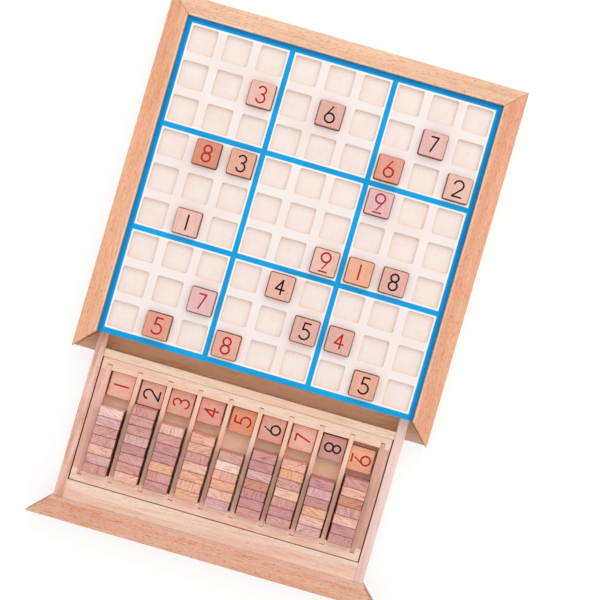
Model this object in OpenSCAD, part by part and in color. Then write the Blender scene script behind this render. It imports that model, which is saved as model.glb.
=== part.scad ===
// Wooden sudoku board: a square box with a sunk number grid on top and a drawer of tiles below it.
// Origin at the middle of the base's underside, +Z up, the drawer pulls out towards -Y.

/* [Tiles] */
// Width of a square number tile
tile_w = 20; // [18:0.5:23]
// Thickness of a tile
tile_t = 7.7; // [6.5:0.1:9]
// Corner radius of a tile
tile_corner_r = 1.2; // [0.4:0.1:3]
// Height of the number cut into a tile
mark_h = 13; // [9:0.5:14]
// Width of the number
mark_w = 8; // [6:0.5:9]
// Width of the number's stroke
mark_stroke = 1.5; // [0.8:0.1:1.6]
// Depth of the number's cut
mark_depth = 0.3; // [0.2:0.05:0.6]
// Space between a nine and the line under it
underline_gap = 2.2; // [1.6:0.1:2.8]

/* [Board] */
// Play round a tile in its pocket
pocket_clear = 0.5; // [0.2:0.1:1]
// Bar of the grid between two pockets
pocket_gap = 7.5; // [7:0.5:10]
// From the outer pockets to the frame
board_margin = 6.5; // [5:0.5:10]
// Corner radius of a pocket
pocket_corner_r = 1.5; // [0.5:0.1:3]
// Thickness of the grid sheet, which is the pocket's depth
grid_t = 3; // [2:0.5:5]
// Thickness of the sheet under the grid
backing_t = 2; // [1.5:0.5:4]

/* [Case] */
// Width of a frame moulding at its foot
moulding_w = 18; // [14:0.5:26]
// Width of the narrow flat on top of a moulding
moulding_flat = 1.5; // [1:0.1:5]
// Height of the upright edge under the moulding's slope
moulding_edge_h = 20; // [6:0.5:24]
// Height of the moulding above the grid
lip_h = 3; // [1:0.5:6]
// Depth of the groove that holds the two sheets
groove_depth = 1.3; // [0.8:0.1:1.6]
// Play of the sheets in their groove
panel_clear = 0.2; // [0.1:0.05:0.4]
// Thickness of the base panel
base_t = 3; // [2:0.5:6]

/* [Drawer] */
// How far the drawer stands open
pull_out = 138; // [0:1:180]
// Play between the drawer and each side of the case
drawer_side_clear = 1; // [0.5:0.1:3]
// Space between the standing tiles and the sheet above
head_clear = 1.2; // [0.5:0.1:4]
// Play between the drawer and the base panel
drawer_slide_clear = 0.3; // [0.1:0.05:0.8]
// Space behind the shut drawer
drawer_back_clear = 2; // [0.5:0.5:6]
// Thickness of the drawer's side and back walls
drawer_wall_t = 7.6; // [4:0.1:9]
// Height of the drawer's walls above its floor
drawer_wall_h = 15.5; // [12:0.5:20]
// Thickness of the drawer's floor
drawer_floor_t = 3; // [2:0.5:5]
// Thickness of the inner front wall
front_wall_t = 15.4; // [8:0.1:18]
// Thickness of the rail between the tray and the rear compartment
cross_rail_w = 6.7; // [4:0.1:10]
// Gap along each mitre between the drawer's front and the case
mitre_gap = 0.3; // [0.2:0.05:0.8]

/* [Tray] */
// Play between the tray and each side wall of the drawer
tray_side_clear = 1; // [0.5:0.1:2]
// Play in front of the tray
tray_front_clear = 0.7; // [0.4:0.1:2]
// Play behind the tray
tray_back_clear = 0.2; // [0.1:0.05:1]
// Thickness of the tray's floor
tray_floor_t = 2.5; // [1.5:0.5:4]
// Height of the rails and dividers above the tray's floor
rail_h = 12; // [9:0.5:18]
// Width of the tray's back rail
back_rail_w = 9; // [7:0.5:14]
// Width of the tray's front rail
front_rail_w = 10; // [7:0.5:16]
// Play on each side of a tile in its lane
lane_clear = 0.9; // [0.4:0.05:1.1]
// Thickness of a divider
divider_t = 3.7; // [3:0.1:4.2]
// Depth of the slots that hold the dividers' ends
slot_depth = 4.5; // [3:0.1:6]
// Play on each side of a divider in its slot
slot_clear = 0.05; // [0.05:0.05:0.3]
// Gap left open at the end of a slot
slot_end_gap = 0.5; // [0.3:0.1:1.2]
// Length left over in a full lane
lane_slack = 1; // [0.4:0.1:3]
// Space between two standing tiles
stack_gap = 0.1; // [0.05:0.05:0.2]

/* [Hidden] */
$fn = 64;
// How far a cutting shape runs past the face that it cuts
overrun = 1;

// Counts: pockets a side, and lanes in the tray
grid_count = 9;
lane_count = 9;

// Numbers that lie on the board: row from the back, column from the left, number
board_tiles = [
    [2, 3, 3], [2, 5, 6], [2, 8, 7], [3, 7, 6], [3, 9, 2], [4, 2, 8], [4, 3, 3],
    [4, 7, 9], [6, 2, 1], [6, 6, 9], [6, 7, 1], [6, 8, 8], [7, 5, 4], [8, 3, 7],
    [8, 6, 5], [8, 7, 4], [9, 2, 5], [9, 4, 8], [9, 8, 5]
];
// Tiles that stand in each lane, from the left
standing_counts = [7, 8, 7, 7, 6, 7, 7, 6, 7];
// Where each lane's flat tile lies, as a share of the lane's free length, from the back
flat_gap_shares = [0.05, 0.5, 0.05, 0.06, 0.05, 0.05, 0.06, 0.08, 0.45];
// Where a lane's tiles lie across it, as shares of the play: flat tile, then standing tiles
flat_side_shares = [0.35, 0.3, -0.35, -0.6, 0.85, 0.1, 0.4, 0.3, -0.6];
stack_side_shares = [-0.7, -0.7, -0.7, -0.7, -0.7, -0.2, -0.65, -0.7, 0.3];
// How the standing tiles lie out of line, as shares of the play, over and over along a lane
stagger_shares = [0.15, -0.2, 0, 0.25, -0.15, 0.1, -0.25, 0.05];

// The case in plan
pocket_w = tile_w + 2 * pocket_clear;
pocket_pitch = pocket_w + pocket_gap;
inner_w = grid_count * pocket_w + (grid_count - 1) * pocket_gap + 2 * board_margin;
half_in = inner_w / 2;
half_out = half_in + moulding_w;

// Levels, from the base up
drawer_z = base_t + drawer_slide_clear;
wall_z = drawer_z + drawer_floor_t;
tray_rail_z = wall_z + tray_floor_t;
backing_z = tray_rail_z + tile_w + head_clear;
grid_z = backing_z + backing_t;
board_top = grid_z + grid_t;
case_top = board_top + lip_h;

// The two sheets that lie in the frame's groove
panel_reach = groove_depth - panel_clear;
panel_w = inner_w + 2 * panel_reach;
panel_front = -half_in + panel_clear;
panel_d = half_in + panel_reach - panel_front;

// The drawer in plan, as it lies when it is shut
drawer_w = inner_w - 2 * drawer_side_clear;
drawer_in_w = drawer_w - 2 * drawer_wall_t;
drawer_front = -half_in;
drawer_back = half_in - drawer_back_clear;
drawer_d = drawer_back - drawer_front;

// The tray in plan
most_standing = max(standing_counts);
lane_w = tile_w + 2 * lane_clear;
lane_pitch = lane_w + divider_t;
lane_len = tile_w + most_standing * (tile_t + stack_gap) + lane_slack;
lanes_w = lane_count * lane_w + (lane_count - 1) * divider_t;
tray_w = drawer_in_w - 2 * tray_side_clear;
tray_d = front_rail_w + lane_len + back_rail_w;
side_rail_w = (tray_w - lanes_w) / 2;
tray_front = drawer_front + front_wall_t + tray_front_clear;
tray_back = tray_front + tray_d;
lane_front = tray_front + front_rail_w;
lane_back = lane_front + lane_len;
tongue_len = slot_depth - slot_end_gap;

// Colours as the object shows them
frame_colour = [0.90, 0.66, 0.48];
drawer_colour = [0.95, 0.82, 0.71];
tray_colour = [0.93, 0.76, 0.65];
sheet_colour = [0.97, 0.92, 0.87];
grid_colour = [0.99, 0.96, 0.94];
tile_colour = [0.93, 0.70, 0.58];
stack_colour = [0.85, 0.65, 0.62];

function pocket_x(column) = (column - (grid_count + 1) / 2) * pocket_pitch;
function pocket_y(row) = ((grid_count + 1) / 2 - row) * pocket_pitch;
function lane_x(lane) = (lane - (lane_count + 1) / 2) * lane_pitch;
function divider_x(edge) = (edge - lane_count / 2) * lane_pitch;
function free_len(lane) = lane_len - tile_w - standing_counts[lane - 1] * (tile_t + stack_gap);
function board_tile_name(place) = str("tile_r", place[0], "c", place[1]);
function flat_tile_name(lane) = str("flat_tile_", lane);
function stack_name(lane) = str("tile_stack_", lane);

// A square plate with round corners, its middle on the Z axis
module rounded_plate(width, corner, thick) {
    straight = width - 2 * corner;
    linear_extrude(thick) {
        square([width, straight], center = true);
        square([straight, width], center = true);
        for (x = [-straight / 2, straight / 2], y = [-straight / 2, straight / 2])
            translate([x, y])
                circle(corner);
    }
}

// A box on the plane Z = 0, centred left to right, with its front at Y = 0
module slab(width, depth, height) {
    translate([-width / 2, 0, 0])
        cube([width, depth, height]);
}

// One mitred frame moulding along the back edge, standing on foot_z
module moulding(foot_z, end_gap) {
    intersection() {
        translate([-half_out, half_in, 0])
            rotate([90, 0, 90])
                linear_extrude(2 * half_out)
                    polygon([
                        [0, foot_z],
                        [moulding_w, foot_z],
                        [moulding_w, base_t + moulding_edge_h],
                        [moulding_flat, case_top],
                        [0, case_top]
                    ]);
        linear_extrude(case_top + overrun)
            polygon([
                [end_gap - half_in, half_in],
                [half_in - end_gap, half_in],
                [half_out - end_gap, half_out],
                [end_gap - half_out, half_out]
            ]);
    }
}

// A frame moulding with the groove that holds the two sheets
module grooved_moulding() {
    groove_h = backing_t + grid_t + panel_clear;
    difference() {
        moulding(base_t, 0);
        translate([0, half_in - overrun, backing_z])
            slab(2 * half_out, groove_depth + overrun, groove_h);
    }
}

module base_panel() {
    color(drawer_colour)
        translate([0, -half_out, 0])
            slab(2 * half_out, 2 * half_out, base_t);
}

module left_moulding() {
    color(frame_colour)
        rotate([0, 0, 90])
            grooved_moulding();
}

module right_moulding() {
    color(frame_colour)
        rotate([0, 0, -90])
            grooved_moulding();
}

module back_moulding() {
    color(frame_colour)
        grooved_moulding();
}

module board_backing() {
    color(sheet_colour)
        translate([0, panel_front, backing_z])
            slab(panel_w, panel_d, backing_t);
}

module board_grid() {
    color(grid_colour)
        difference() {
            translate([0, panel_front, grid_z])
                slab(panel_w, panel_d, grid_t);
            for (row = [1:grid_count], column = [1:grid_count])
                translate([pocket_x(column), pocket_y(row), grid_z - overrun])
                    rounded_plate(pocket_w, pocket_corner_r, grid_t + 2 * overrun);
        }
}

// Moves a piece of the drawer from its shut place to where the drawer stands open
module in_drawer() {
    translate([0, -pull_out, 0])
        children();
}

module drawer_front_moulding() {
    color(frame_colour)
        in_drawer()
            rotate([0, 0, 180])
                moulding(drawer_z, mitre_gap);
}

module drawer_front_wall() {
    color(drawer_colour)
        in_drawer()
            translate([0, drawer_front, wall_z])
                slab(drawer_in_w, front_wall_t, drawer_wall_h);
}

// A side wall of the drawer, on the left or right by the sign of side
module drawer_side_wall(side) {
    color(drawer_colour)
        in_drawer()
            translate([side * (drawer_w - drawer_wall_t) / 2, drawer_front, wall_z])
                slab(drawer_wall_t, drawer_d, drawer_wall_h);
}

module drawer_left_wall() {
    drawer_side_wall(-1);
}

module drawer_right_wall() {
    drawer_side_wall(1);
}

module drawer_back_wall() {
    color(drawer_colour)
        in_drawer()
            translate([0, drawer_back - drawer_wall_t, wall_z])
                slab(drawer_in_w, drawer_wall_t, drawer_wall_h);
}

module drawer_cross_rail() {
    color(drawer_colour)
        in_drawer()
            translate([0, tray_back + tray_back_clear, wall_z])
                slab(drawer_in_w, cross_rail_w, tray_floor_t + rail_h);
}

module drawer_floor() {
    color(drawer_colour)
        in_drawer()
            translate([0, drawer_front, drawer_z])
                slab(drawer_w, drawer_d, drawer_floor_t);
}

module tray_floor() {
    color(tray_colour)
        in_drawer()
            translate([0, tray_front, wall_z])
                slab(tray_w, tray_d, tray_floor_t);
}

// The x of each slot's middle in the front and back rails, the two end slots for the side rails' tongues
slot_places = [for (edge = [0:lane_count]) divider_x(edge)];

// A cross rail of the tray from y_front, with slots that open at slot_mouth and run towards slot_end
module slotted_rail(y_front, depth, slot_mouth, slot_end) {
    slot_w = divider_t + 2 * slot_clear;
    slot_from = min(slot_mouth, slot_end);
    slot_len = abs(slot_end - slot_mouth);
    color(tray_colour)
        in_drawer()
            difference() {
                translate([0, y_front, tray_rail_z])
                    slab(tray_w, depth, rail_h);
                for (x = slot_places)
                    translate([x, slot_from, tray_rail_z - overrun])
                        slab(slot_w, slot_len, rail_h + 2 * overrun);
            }
}

module tray_back_rail() {
    slotted_rail(lane_back, back_rail_w, lane_back - overrun, lane_back + slot_depth);
}

module tray_front_rail() {
    slotted_rail(tray_front, front_rail_w, lane_front + overrun, lane_front - slot_depth);
}

// A divider on edge number edge, with its ends in the rails' slots
module divider(edge) {
    translate([divider_x(edge), lane_front - tongue_len, tray_rail_z])
        slab(divider_t, lane_len + 2 * tongue_len, rail_h);
}

// A side rail: a divider with the wood outside it left on between the cross rails
module tray_side_rail(edge, side) {
    outside_w = side_rail_w - divider_t;
    color(tray_colour)
        in_drawer()
            union() {
                divider(edge);
                translate([side * (tray_w - outside_w) / 2, lane_front, tray_rail_z])
                    slab(outside_w, lane_len, rail_h);
            }
}

module tray_left_rail() {
    tray_side_rail(0, -1);
}

module tray_right_rail() {
    tray_side_rail(lane_count, 1);
}

module tray_dividers() {
    color(tray_colour)
        in_drawer()
            for (edge = [1:lane_count - 1])
                divider(edge);
}

// Width of a stroke along its run, as a share of its round ends
waist_share = 0.95;

// The strokes of the numbers: a bar with round ends from one point to another
module bar(from, to, stroke = mark_stroke) {
    run = to - from;
    waist = waist_share * stroke;
    translate(from)
        rotate([0, 0, atan2(run[1], run[0])])
            translate([0, -waist / 2, 0])
                cube([norm(run), waist, mark_depth + overrun]);
    for (end = [from, to])
        translate(end)
            cylinder(d = stroke, h = mark_depth + overrun);
}

// Part of a ring from one angle round to another, with round ends
module arc(middle, radius, start, sweep) {
    waist = waist_share * mark_stroke;
    translate(middle)
        rotate([0, 0, start])
            rotate_extrude(angle = sweep)
                translate([radius - waist / 2, 0])
                    square([waist, mark_depth + overrun]);
    for (angle = [start, start + sweep])
        translate(middle + radius * [cos(angle), sin(angle)])
            cylinder(d = mark_stroke, h = mark_depth + overrun);
}

// A whole ring
module ring(middle, radius) {
    translate(middle)
        difference() {
            cylinder(d = 2 * radius + mark_stroke, h = mark_depth + overrun);
            translate([0, 0, -overrun])
                cylinder(d = 2 * radius - mark_stroke, h = mark_depth + 3 * overrun);
        }
}

// A point of a number, as shares of its half width and half height
function on_mark(shares) = [shares[0] * mark_w / 2, shares[1] * mark_h / 2];

// Radii of the numbers' bows, as shares of the number's height
two_bow_share = 0.29;
three_top_share = 0.235;
five_bow_share = 0.31;
six_bow_share = 0.288;
eight_low_share = 0.262;
// How far the narrower and shorter numbers reach, as shares of the half width and half height
one_high_share = 0.88;
two_wide_share = 0.9;
four_share = 0.85;
seven_wide_share = 0.68;
seven_high_share = 0.89;
underline_share = 0.75;
// Width of the stem of a six, as a share of the stroke
six_stem_share = 0.8;
// Angles in degrees where bows begin, and how far they run
two_start_angle = -38;
two_sweep_angle = 208;
three_top_start_angle = -90;
three_top_sweep_angle = 245;
three_low_start_angle = -160;
three_low_sweep_angle = 250;
five_start_angle = -148;
five_sweep_angle = 268;
six_stem_angle = 150;

module mark_one() {
    bar(on_mark([0, -one_high_share]), on_mark([0, one_high_share]));
}

module mark_two() {
    radius = two_bow_share * mark_h;
    middle = [0, mark_h / 2 - radius];
    arc(middle, radius, two_start_angle, two_sweep_angle);
    bar(middle + radius * [cos(two_start_angle), sin(two_start_angle)], on_mark([-two_wide_share, -1]));
    bar(on_mark([-two_wide_share, -1]), on_mark([two_wide_share, -1]));
}

module mark_three() {
    top = three_top_share * mark_h;
    low = mark_h / 2 - top;
    arc([0, mark_h / 2 - top], top, three_top_start_angle, three_top_sweep_angle);
    arc([0, low - mark_h / 2], low, three_low_start_angle, three_low_sweep_angle);
}

module mark_four() {
    top = four_share * on_mark([0.35, 1]);
    corner = four_share * on_mark([-1, -0.4]);
    bar(top, corner);
    bar(corner, four_share * on_mark([1, -0.4]));
    bar(top, four_share * on_mark([0.35, -1]));
}

module mark_five() {
    radius = five_bow_share * mark_h;
    middle = [0, radius - mark_h / 2];
    end = five_start_angle + five_sweep_angle;
    arc(middle, radius, five_start_angle, five_sweep_angle);
    bar(middle + radius * [cos(end), sin(end)], on_mark([-0.4, 1]));
    bar(on_mark([-0.4, 1]), on_mark([0.8, 1]));
}

module mark_six() {
    radius = six_bow_share * mark_h;
    middle = [0, radius - mark_h / 2];
    foot = middle + radius * [cos(six_stem_angle), sin(six_stem_angle)];
    rise = mark_h / 2 - foot[1];
    ring(middle, radius);
    bar(foot, foot + [rise / tan(six_stem_angle - 90), rise], six_stem_share * mark_stroke);
}

module mark_seven() {
    corner = on_mark([seven_wide_share, seven_high_share]);
    bar(on_mark([-seven_wide_share, seven_high_share]), corner);
    bar(corner, on_mark([-0.3, -seven_high_share]));
}

module mark_eight() {
    low = eight_low_share * mark_h;
    top = mark_h / 2 - low;
    ring([0, low - mark_h / 2], low);
    ring([0, mark_h / 2 - top], top);
}

module mark_nine() {
    lift = underline_gap / 2;
    translate([0, lift, 0])
        rotate([0, 0, 180])
            mark_six();
    translate([0, lift - underline_gap, 0])
        bar(on_mark([-underline_share, -1]), on_mark([underline_share, -1]));
}

module mark(number) {
    if (number == 1) mark_one();
    if (number == 2) mark_two();
    if (number == 3) mark_three();
    if (number == 4) mark_four();
    if (number == 5) mark_five();
    if (number == 6) mark_six();
    if (number == 7) mark_seven();
    if (number == 8) mark_eight();
    if (number == 9) mark_nine();
}

// A tile lying flat with its number up, turned by angle
module tile(number, angle) {
    color(tile_colour)
        rotate([0, 0, angle])
            difference() {
                rounded_plate(tile_w, tile_corner_r, tile_t);
                translate([0, 0, tile_t - mark_depth])
                    mark(number);
            }
}

module board_tile(place) {
    translate([pocket_x(place[1]), pocket_y(place[0]), grid_z])
        tile(place[2], 0);
}

// The flat tile at the back of a lane: the first seven read from the right, the last two from the left
module flat_tile(lane) {
    x = lane_x(lane) + flat_side_shares[lane - 1] * lane_clear;
    y = lane_back - flat_gap_shares[lane - 1] * free_len(lane) - tile_w / 2;
    in_drawer()
        translate([x, y, tray_rail_z])
            tile(lane, lane < 8 ? 90 : -90);
}

// The tiles that stand on edge in the front of a lane
module tile_stack(lane) {
    color(stack_colour)
        in_drawer()
            for (place = [1:standing_counts[lane - 1]]) {
                stagger = stagger_shares[(place + lane) % len(stagger_shares)];
                x = lane_x(lane) + (stack_side_shares[lane - 1] + stagger) * lane_clear;
                y = lane_front + place * (tile_t + stack_gap);
                translate([x, y, tray_rail_z + tile_w / 2])
                    rotate([90, 0, 0])
                        rounded_plate(tile_w, tile_corner_r, tile_t);
            }
}

base_panel();
left_moulding();
right_moulding();
back_moulding();
board_backing();
board_grid();
drawer_front_moulding();
drawer_front_wall();
drawer_left_wall();
drawer_right_wall();
drawer_back_wall();
drawer_cross_rail();
drawer_floor();
tray_floor();
tray_back_rail();
tray_front_rail();
tray_left_rail();
tray_right_rail();
tray_dividers();
for (place = board_tiles)
    board_tile(place);
for (lane = [1:lane_count])
    flat_tile(lane);
for (lane = [1:lane_count])
    tile_stack(lane);
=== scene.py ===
"""Looks of the sudoku board: eased wooden pieces, a painted grid, cut numbers, and the studio round them."""

import logging
import math
from dataclasses import KW_ONLY, dataclass, replace
from enum import Enum
from typing import Any, ClassVar

import bmesh
import bpy
from bmesh.types import BMEdge, BMVert, BMesh
from bpy.types import ID, Material, Mesh, Node, NodeSocket, NodeTree, Object
from mathutils import Matrix, Vector


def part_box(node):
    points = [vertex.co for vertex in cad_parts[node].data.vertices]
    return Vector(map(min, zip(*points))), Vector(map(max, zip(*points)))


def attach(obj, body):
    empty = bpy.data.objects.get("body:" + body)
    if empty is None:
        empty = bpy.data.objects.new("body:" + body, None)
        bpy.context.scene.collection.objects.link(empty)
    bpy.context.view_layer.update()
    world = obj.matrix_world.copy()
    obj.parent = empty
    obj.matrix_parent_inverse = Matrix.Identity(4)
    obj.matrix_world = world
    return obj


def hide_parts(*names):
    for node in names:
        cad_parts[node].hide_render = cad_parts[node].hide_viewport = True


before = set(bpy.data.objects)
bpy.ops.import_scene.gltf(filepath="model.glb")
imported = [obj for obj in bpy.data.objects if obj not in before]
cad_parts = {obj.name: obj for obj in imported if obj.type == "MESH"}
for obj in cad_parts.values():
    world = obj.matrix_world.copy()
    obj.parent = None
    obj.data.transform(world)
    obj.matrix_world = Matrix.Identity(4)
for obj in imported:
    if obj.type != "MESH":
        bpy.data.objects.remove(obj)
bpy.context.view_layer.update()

LOG = logging.getLogger("sudoku_board")
Rgb = tuple[int, int, int]
Triple = tuple[float, float, float]
Span = tuple[float, float]
Box = tuple[Vector, Vector]

MM = 0.001
# Points that count as level or as one, faces that count as flat, and edges that are eased.
NEAR, WELD = 0.01 * MM, 0.002 * MM
FLAT_ANGLE, SHARP_ANGLE = math.radians(0.4), math.radians(28)
UP, BACK = Vector((0.0, 0.0, 1.0)), Vector((0.0, 1.0, 0.0))
# Counter-clockwise from the back right.
CORNERS = ((1, 1), (-1, 1), (-1, -1), (1, -1))
# How far apart the pieces' stretches of grain lie, in metres.
GRAIN_STEPS = (0.731, 0.377, 0.519)


def linear(rgb: Rgb) -> tuple[float, float, float, float]:
    """Turns a screen colour into the linear colour that a shader takes.

    Args:
        rgb: Red, green and blue from 0 to 255.

    Returns:
        The linear colour, with alpha 1.
    """
    shares = [value / 255 for value in rgb]
    red, green, blue = [s / 12.92 if s <= 0.04045 else ((s + 0.055) / 1.055) ** 2.4 for s in shares]
    return red, green, blue, 1.0


class Fibre(Enum):
    """The way that a piece's wood fibres run, as the turn in degrees that brings them onto X."""

    ALONG_X = 0.0
    ALONG_Y = -90.0


class Ink(Enum):
    """The paint in a tile's number."""

    RED = (188, 36, 42)
    CRIMSON = (190, 52, 88)
    BLACK = (30, 18, 20)


class Tone(Enum):
    """The wood tones of the tiles."""

    CREAM = (249, 212, 205)
    PALE_PEACH = (246, 203, 190)
    PEACH = (243, 193, 179)
    SAND = (250, 199, 181)
    PEACH_TAN = (240, 183, 164)
    ORANGE_TAN = (238, 180, 152)
    APRICOT = (250, 187, 158)
    ORANGE = (240, 168, 132)
    ORANGE_BROWN = (212, 148, 128)
    TERRACOTTA = (238, 170, 151)
    CORAL = (241, 178, 165)
    RUSSET = (227, 155, 131)
    ROSY_TAN = (236, 187, 178)
    ROSE_TAN = (219, 167, 161)
    ROSE = (218, 160, 156)
    PINK = (242, 198, 197)
    # PALE_LILAC and LILAC are one wood; LILAC, on the standing tiles, is darker as painted shade.
    PALE_LILAC = (240, 196, 200)
    LILAC = (225, 177, 178)
    MAUVE = (208, 152, 152)


class Wiring:
    """A node tree that is built by short calls."""

    def __init__(self, tree: NodeTree) -> None:
        """Keeps the tree and empties it."""
        self.tree = tree
        self.tree.nodes.clear()

    def add(self, kind: str, inputs: dict[Any, Any] | None = None, **settings: Any) -> Node:
        """Adds a node.

        Args:
            kind: The node's type.
            inputs: Values or sockets for its inputs, by name or number.
            **settings: Properties of the node.

        Returns:
            The new node.
        """
        node = self.tree.nodes.new(kind)
        for key, value in settings.items():
            setattr(node, key, value)
        for key, value in (inputs or {}).items():
            self.feed(node.inputs[key], value)
        return node

    def feed(self, socket: NodeSocket, value: Any) -> None:
        """Links a socket to an input, or sets the input's own value.

        Args:
            socket: The input.
            value: A socket or a plain value.
        """
        if isinstance(value, NodeSocket):
            self.tree.links.new(value, socket)
        else:
            socket.default_value = value

    def math(self, operation: str, first: Any, second: Any = 0.0) -> NodeSocket:
        """Does one sum on numbers or their sockets."""
        return self.add("ShaderNodeMath", {0: first, 1: second}, operation=operation).outputs[0]

    def vector(self, operation: str, first: Any, second: Any = (0.0, 0.0, 0.0)) -> NodeSocket:
        """Does one sum on vectors or their sockets."""
        return self.add("ShaderNodeVectorMath", {0: first, 1: second}, operation=operation).outputs[0]


class Shading(Wiring):
    """A material's node tree."""

    # What a darker shade keeps of red, green and blue, and how strong a relief is.
    SHADE: ClassVar[Triple] = (1.0, 0.94, 0.9)
    RELIEF: ClassVar[float] = 0.5

    def __init__(self, name: str) -> None:
        """Makes an empty material.

        Args:
            name: The material's name.
        """
        self.material = bpy.data.materials.new(name)
        self.material.use_nodes = True
        super().__init__(self.material.node_tree)

    def place(self) -> NodeSocket:
        """Gives the point on the piece, in metres."""
        return self.add("ShaderNodeTexCoord").outputs["Object"]

    def attribute(self, name: str) -> Node:
        """Reads a value that the mesh carries."""
        return self.add("ShaderNodeAttribute", attribute_name=name)

    def noise(self, vector: Any, scale: float, detail: float, roughness: float = 0.5) -> NodeSocket:
        """Makes a noise from 0 to 1, of a given fineness and with finer layers."""
        inputs = {"Vector": vector, "Scale": scale, "Detail": detail, "Roughness": roughness}
        return self.add("ShaderNodeTexNoise", inputs).outputs["Fac"]

    def between(self, value: Any, low: float, high: float) -> NodeSocket:
        """Spreads a number so that low gives 0 and high gives 1."""
        inputs = {"Value": value, "From Min": low, "From Max": high}
        return self.add("ShaderNodeMapRange", inputs, interpolation_type="SMOOTHSTEP").outputs[0]

    def mix(self, share: Any, first: Any, second: Any, blend: str = "MIX") -> NodeSocket:
        """Mixes a share of the second colour into the first."""
        node = self.add("ShaderNodeMix", {0: share, 6: first, 7: second}, data_type="RGBA", blend_type=blend)
        return node.outputs[2]

    def multiply(self, share: Any, colour: Any, by: Triple) -> NodeSocket:
        """Multiplies a colour's red, green and blue where share is 1."""
        return self.mix(share, colour, (*by, 1.0), "MULTIPLY")

    def darken(self, share: Any, colour: Any, to: float) -> NodeSocket:
        """Darkens a colour where share is 1, and warms it a little."""
        red, green, blue = [to * tint for tint in self.SHADE]
        return self.multiply(share, colour, (red, green, blue))

    def rough(self, pattern: Any, spread: float, least: float) -> NodeSocket:
        """Gives a roughness that a pattern raises from its least by up to the spread."""
        return self.math("ADD", self.math("MULTIPLY", pattern, spread), least)

    def surface(self, colour: Any, roughness: Any, height: Any, depth: float, gloss: float = 0.35) -> Material:
        """Ends the tree in one glossy surface with a fine relief.

        Args:
            colour: The base colour.
            roughness: The roughness.
            height: The relief's height from 0 to 1.
            depth: How deep the relief is, in metres.
            gloss: How much light it mirrors.

        Returns:
            The finished material.
        """
        bump = self.add("ShaderNodeBump", {"Strength": self.RELIEF, "Distance": depth, "Height": height})
        shader = self.add("ShaderNodeBsdfPrincipled", {
            "Base Color": colour, "Roughness": roughness,
            "Normal": bump.outputs[0], "Specular IOR Level": gloss,
        })
        self.add("ShaderNodeOutputMaterial", {"Surface": shader.outputs[0]})
        return self.material


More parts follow.
